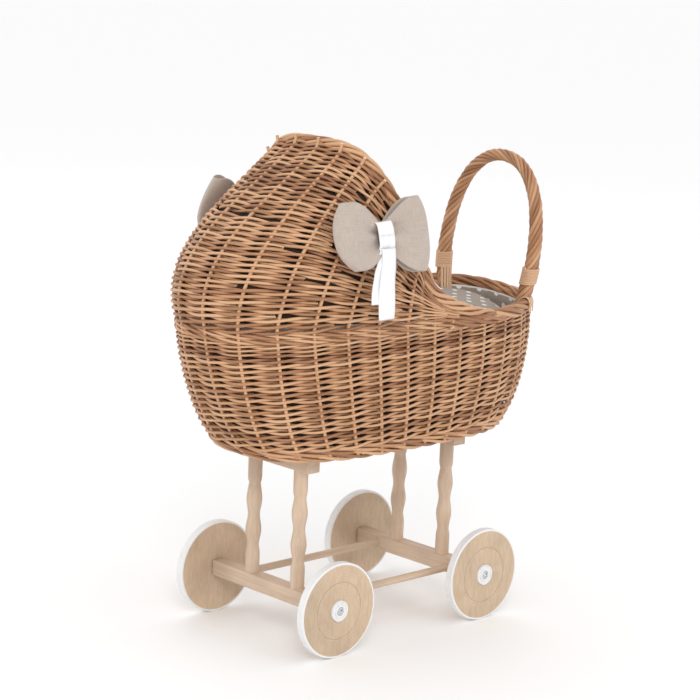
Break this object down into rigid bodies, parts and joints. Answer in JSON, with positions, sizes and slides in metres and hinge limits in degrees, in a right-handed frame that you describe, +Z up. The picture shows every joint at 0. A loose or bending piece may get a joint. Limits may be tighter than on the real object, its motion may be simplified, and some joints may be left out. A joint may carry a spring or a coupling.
{
  "type": "doll stroller",
  "caption": "Willow doll pram with a woven hood, roped push handle, bows and dotted liner, standing on turned birch posts with plywood wheels that roll freely.",
  "frame": {"origin": "on the ground, under the middle of the pram", "axes": "+Z up, +X towards the foot end where the push handle is, +Y to the right-hand side of whoever pushes"},
  "size_m": [0.5428, 0.3009, 0.6262],
  "materials": {
    "birch": "sanded and oiled birch",
    "plywood": "sanded birch plywood disc",
    "white_rubber": "white rubber strip",
    "white_plastic": "moulded white plastic",
    "steel": "zinc plated",
    "willow": "boiled, peeled buff willow rods",
    "willow_skein": "split buff willow skein",
    "linen": "plain woven beige linen",
    "white_ribbon": "white cotton ribbon",
    "dotted_cotton": "taupe cotton with white dots and a white bound edge"
  },
  "bodies": {
    "carriage": {"axle_beam_head": "birch", "batten_head": "birch", "axle_beam_foot": "birch", "batten_foot": "birch", "post_head_left": "birch", "axle_screw_head_left": "steel", "post_head_right": "birch", "axle_screw_head_right": "steel", "post_foot_left": "birch", "axle_screw_foot_left": "steel", "post_foot_right": "birch", "axle_screw_foot_right": "steel", "side_rod_left": "birch", "handle_binding_left": "willow_skein", "handle_lashing_left": "willow_skein", "bow_loops_left": "linen", "bow_band_left": "white_ribbon", "ribbon_tails_left": "white_ribbon", "side_rod_right": "birch", "handle_binding_right": "willow_skein", "handle_lashing_right": "willow_skein", "bow_loops_right": "linen", "bow_band_right": "white_ribbon", "ribbon_tails_right": "white_ribbon", "axle_washers": "steel", "post_screws_lower": "steel", "floor_screws": "steel", "floor_washers": "steel", "basket_floor": "willow", "basket_wall": "willow", "hood_shell": "willow", "foot_border": "willow", "hood_border": "willow", "handle_hoop": "willow", "basket_liner": "dotted_cotton", "quilt": "dotted_cotton", "hood_lining": "dotted_cotton"},
    "wheel_head_left": {"wheel_disc_head_left": "plywood", "tyre_head_left": "white_rubber", "hub_bush_head_left": "white_plastic"},
    "wheel_head_right": {"wheel_disc_head_right": "plywood", "tyre_head_right": "white_rubber", "hub_bush_head_right": "white_plastic"},
    "wheel_foot_left": {"wheel_disc_foot_left": "plywood", "tyre_foot_left": "white_rubber", "hub_bush_foot_left": "white_plastic"},
    "wheel_foot_right": {"wheel_disc_foot_right": "plywood", "tyre_foot_right": "white_rubber", "hub_bush_foot_right": "white_plastic"}
  },
  "joints": [
    {"name": "wheel_spin_head_left", "type": "hinge", "parent": "carriage", "child": "wheel_head_left", "pos_m": [-0.1277, -0.11475, 0.06], "axis": [0, 1, 0], "continuous": true},
    {"name": "wheel_spin_head_right", "type": "hinge", "parent": "carriage", "child": "wheel_head_right", "pos_m": [-0.1277, 0.11475, 0.06], "axis": [0, 1, 0], "continuous": true},
    {"name": "wheel_spin_foot_left", "type": "hinge", "parent": "carriage", "child": "wheel_foot_left", "pos_m": [0.1277, -0.11475, 0.06], "axis": [0, 1, 0], "continuous": true},
    {"name": "wheel_spin_foot_right", "type": "hinge", "parent": "carriage", "child": "wheel_foot_right", "pos_m": [0.1277, 0.11475, 0.06], "axis": [0, 1, 0], "continuous": true}
  ]
}
